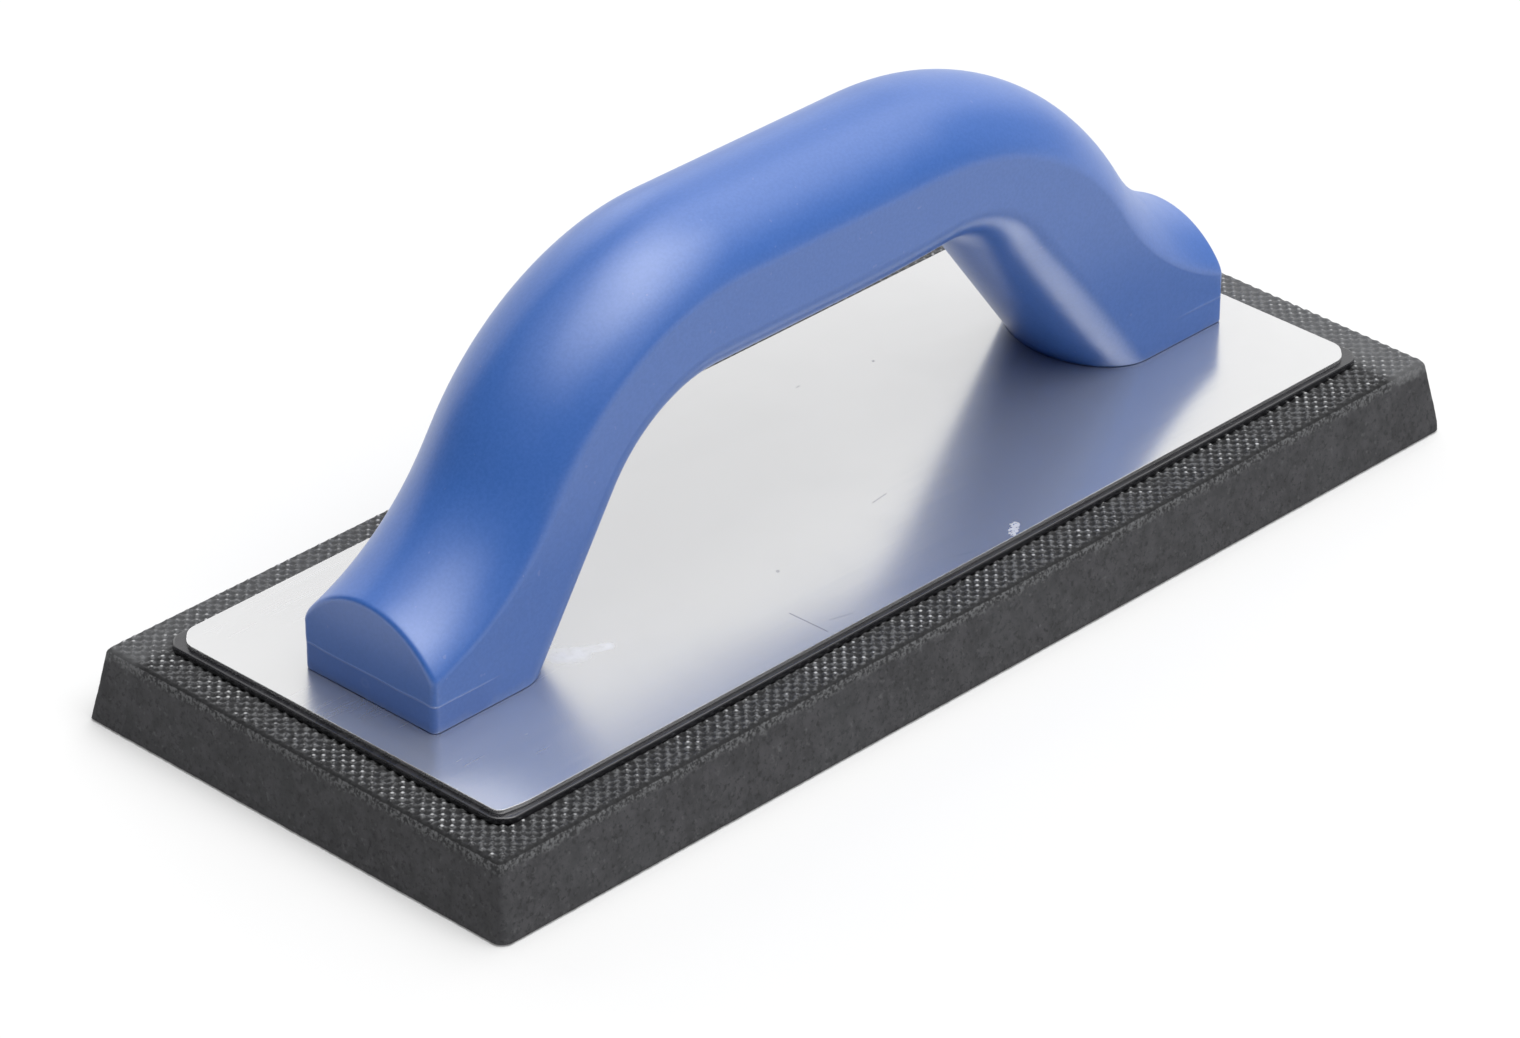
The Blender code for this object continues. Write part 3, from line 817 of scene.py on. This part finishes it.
def screw_steel():
    n = Nodes("zinc_plated_steel")
    bloom = n.noise(900, 3.0, 0.6)
    turning = n.noise(300, 2.0, 0.5, place=n.stretched(1, 1, 30))
    colour = n.mix(n.ramp(bloom, 0.35, 0.7), (0.60, 0.60, 0.62), (0.70, 0.69, 0.66))
    roughness = n.ramp(turning, 0.3, 0.7, 0.25, 0.42)
    normal = n.bump(turning, 0.15, 0.03 * MM)
    return n.finish(colour, roughness, normal, Metallic=1.0)


def pale_floor():
    n = Nodes("floor_paper")
    tone = n.ramp(n.noise(3, 2.0), 0.3, 0.7)
    colour = n.mix(tone, (0.62, 0.62, 0.62), (0.63, 0.63, 0.63))
    glow = (1.0, 1.0, 1.0, 1.0)
    return n.finish(colour, 0.9, Emission_Color=glow, Emission_Strength=FLOOR_GLOW)


# ------------------------------------------------------------------ studio
FLOOR_GLOW = 0.17

# The studio's soft lights, each a round patch of its walls or ceiling. Azimuth 0 is along +X and 90
# along +Y. The key stands high on the float's right; the walls behind show in the plate.
# azimuth, elevation, degrees from its middle to where it fades and to where it ends, radiance
SOFT_LIGHTS = {
    "key": (298, 62, 4, 31, 2.80),
    "over the toe": (249, 72, 2, 36, 2.30),
    "over the heel": (4, 60, 8, 29, 1.15),
    "over the left": (140, 72, 6, 37, 0.85),
    "ceiling": (40, 76, 12, 18, 1.55),
    "on the right": (284, 31, 2, 24, 0.90),
    "low on the right": (301, 7, 1, 18, 0.40),
    "wall behind the heel": (36, 29, 21, 40, 0.80),
    "wall behind the left": (78, 18, 20, 30, 0.95),
    "low at the heel": (4, 0, 38, 52, 0.40),
}


def make_floor():
    shape = bmesh.new()
    corners = [shape.verts.new((x, y, -0.2 * MM)) for x, y in ((-3, -3), (3, -3), (3, 3), (-3, 3))]
    shape.faces.new(corners)
    floor = object_from("floor", shape, pale_floor())


def direction(azimuth, elevation):
    """Unit vector towards a place seen at that azimuth and elevation, in degrees."""
    a, e = math.radians(azimuth), math.radians(elevation)
    return Vector((math.cos(a) * math.cos(e), math.sin(a) * math.cos(e), math.sin(e)))


def make_studio():
    world = bpy.data.worlds.new("studio")
    world.use_nodes = True
    tree = world.node_tree
    background = tree.nodes["Background"]
    way = tree.nodes.new("ShaderNodeTexCoord").outputs["Generated"]
    total = None
    for azimuth, elevation, core, reach, radiance in SOFT_LIGHTS.values():
        dot = tree.nodes.new("ShaderNodeVectorMath")
        dot.operation = "DOT_PRODUCT"
        tree.links.new(way, dot.inputs[0])
        dot.inputs[1].default_value = direction(azimuth, elevation)
        fade = tree.nodes.new("ShaderNodeMapRange")
        fade.interpolation_type = "SMOOTHSTEP"
        tree.links.new(dot.outputs["Value"], fade.inputs["Value"])
        fade.inputs["From Min"].default_value = math.cos(math.radians(reach))
        fade.inputs["From Max"].default_value = math.cos(math.radians(core))
        fade.inputs["To Max"].default_value = radiance
        if total is None:
            total = fade.outputs["Result"]
        else:
            joined = tree.nodes.new("ShaderNodeMath")
            tree.links.new(total, joined.inputs[0])
            tree.links.new(fade.outputs["Result"], joined.inputs[1])
            total = joined.outputs[0]
    tree.links.new(total, background.inputs["Strength"])
    background.inputs["Color"].default_value = (1, 1, 1, 1)
    bpy.context.scene.world = world


CAMERA_AZIMUTH = -45.96  # 0 looks along +Y
CAMERA_ELEVATION = 30.355
CAMERA_ROLL = 0.184
CAMERA_LENS = 168.6
CAMERA_OFFSET = Vector((-5.184, 8.946, 1278.665)) * MM  # right, up and back from the frame's origin


def make_camera():
    azimuth, elevation, roll = (math.radians(v) for v in (CAMERA_AZIMUTH, CAMERA_ELEVATION, CAMERA_ROLL))
    back = Vector(
        (
            math.sin(azimuth) * math.cos(elevation),
            -math.cos(azimuth) * math.cos(elevation),
            math.sin(elevation),
        )
    )
    level = Vector((math.cos(azimuth), math.sin(azimuth), 0))
    upright = back.cross(level)
    right = level * math.cos(roll) + upright * math.sin(roll)
    up = upright * math.cos(roll) - level * math.sin(roll)
    turn = Matrix((right, up, back)).transposed()
    data = bpy.data.cameras.new("camera")
    data.lens = CAMERA_LENS
    data.sensor_width = 36
    camera = bpy.data.objects.new("camera", data)
    camera.matrix_world = Matrix.Translation(turn @ CAMERA_OFFSET) @ turn.to_4x4()
    bpy.context.scene.collection.objects.link(camera)
    bpy.context.scene.camera = camera


# ------------------------------------------------------------------ assembly
make_camera()
make_floor()
make_studio()
bpy.context.scene.view_settings.view_transform = "Standard"

handle = make_handle(blue_plastic())
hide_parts("handle")

plate = make_plate(aluminium())
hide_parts("backing_plate")

carrier = make_carrier(black_plastic())
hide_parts("carrier_plate")

pad = make_pad(foam_rubber())
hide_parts("rubber_pad")

for piece in (handle, plate, carrier, pad):
    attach(piece, "root")

steel = screw_steel()
for name in SCREWS:
    for material_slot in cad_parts[name].material_slots:
        material_slot.material = steel
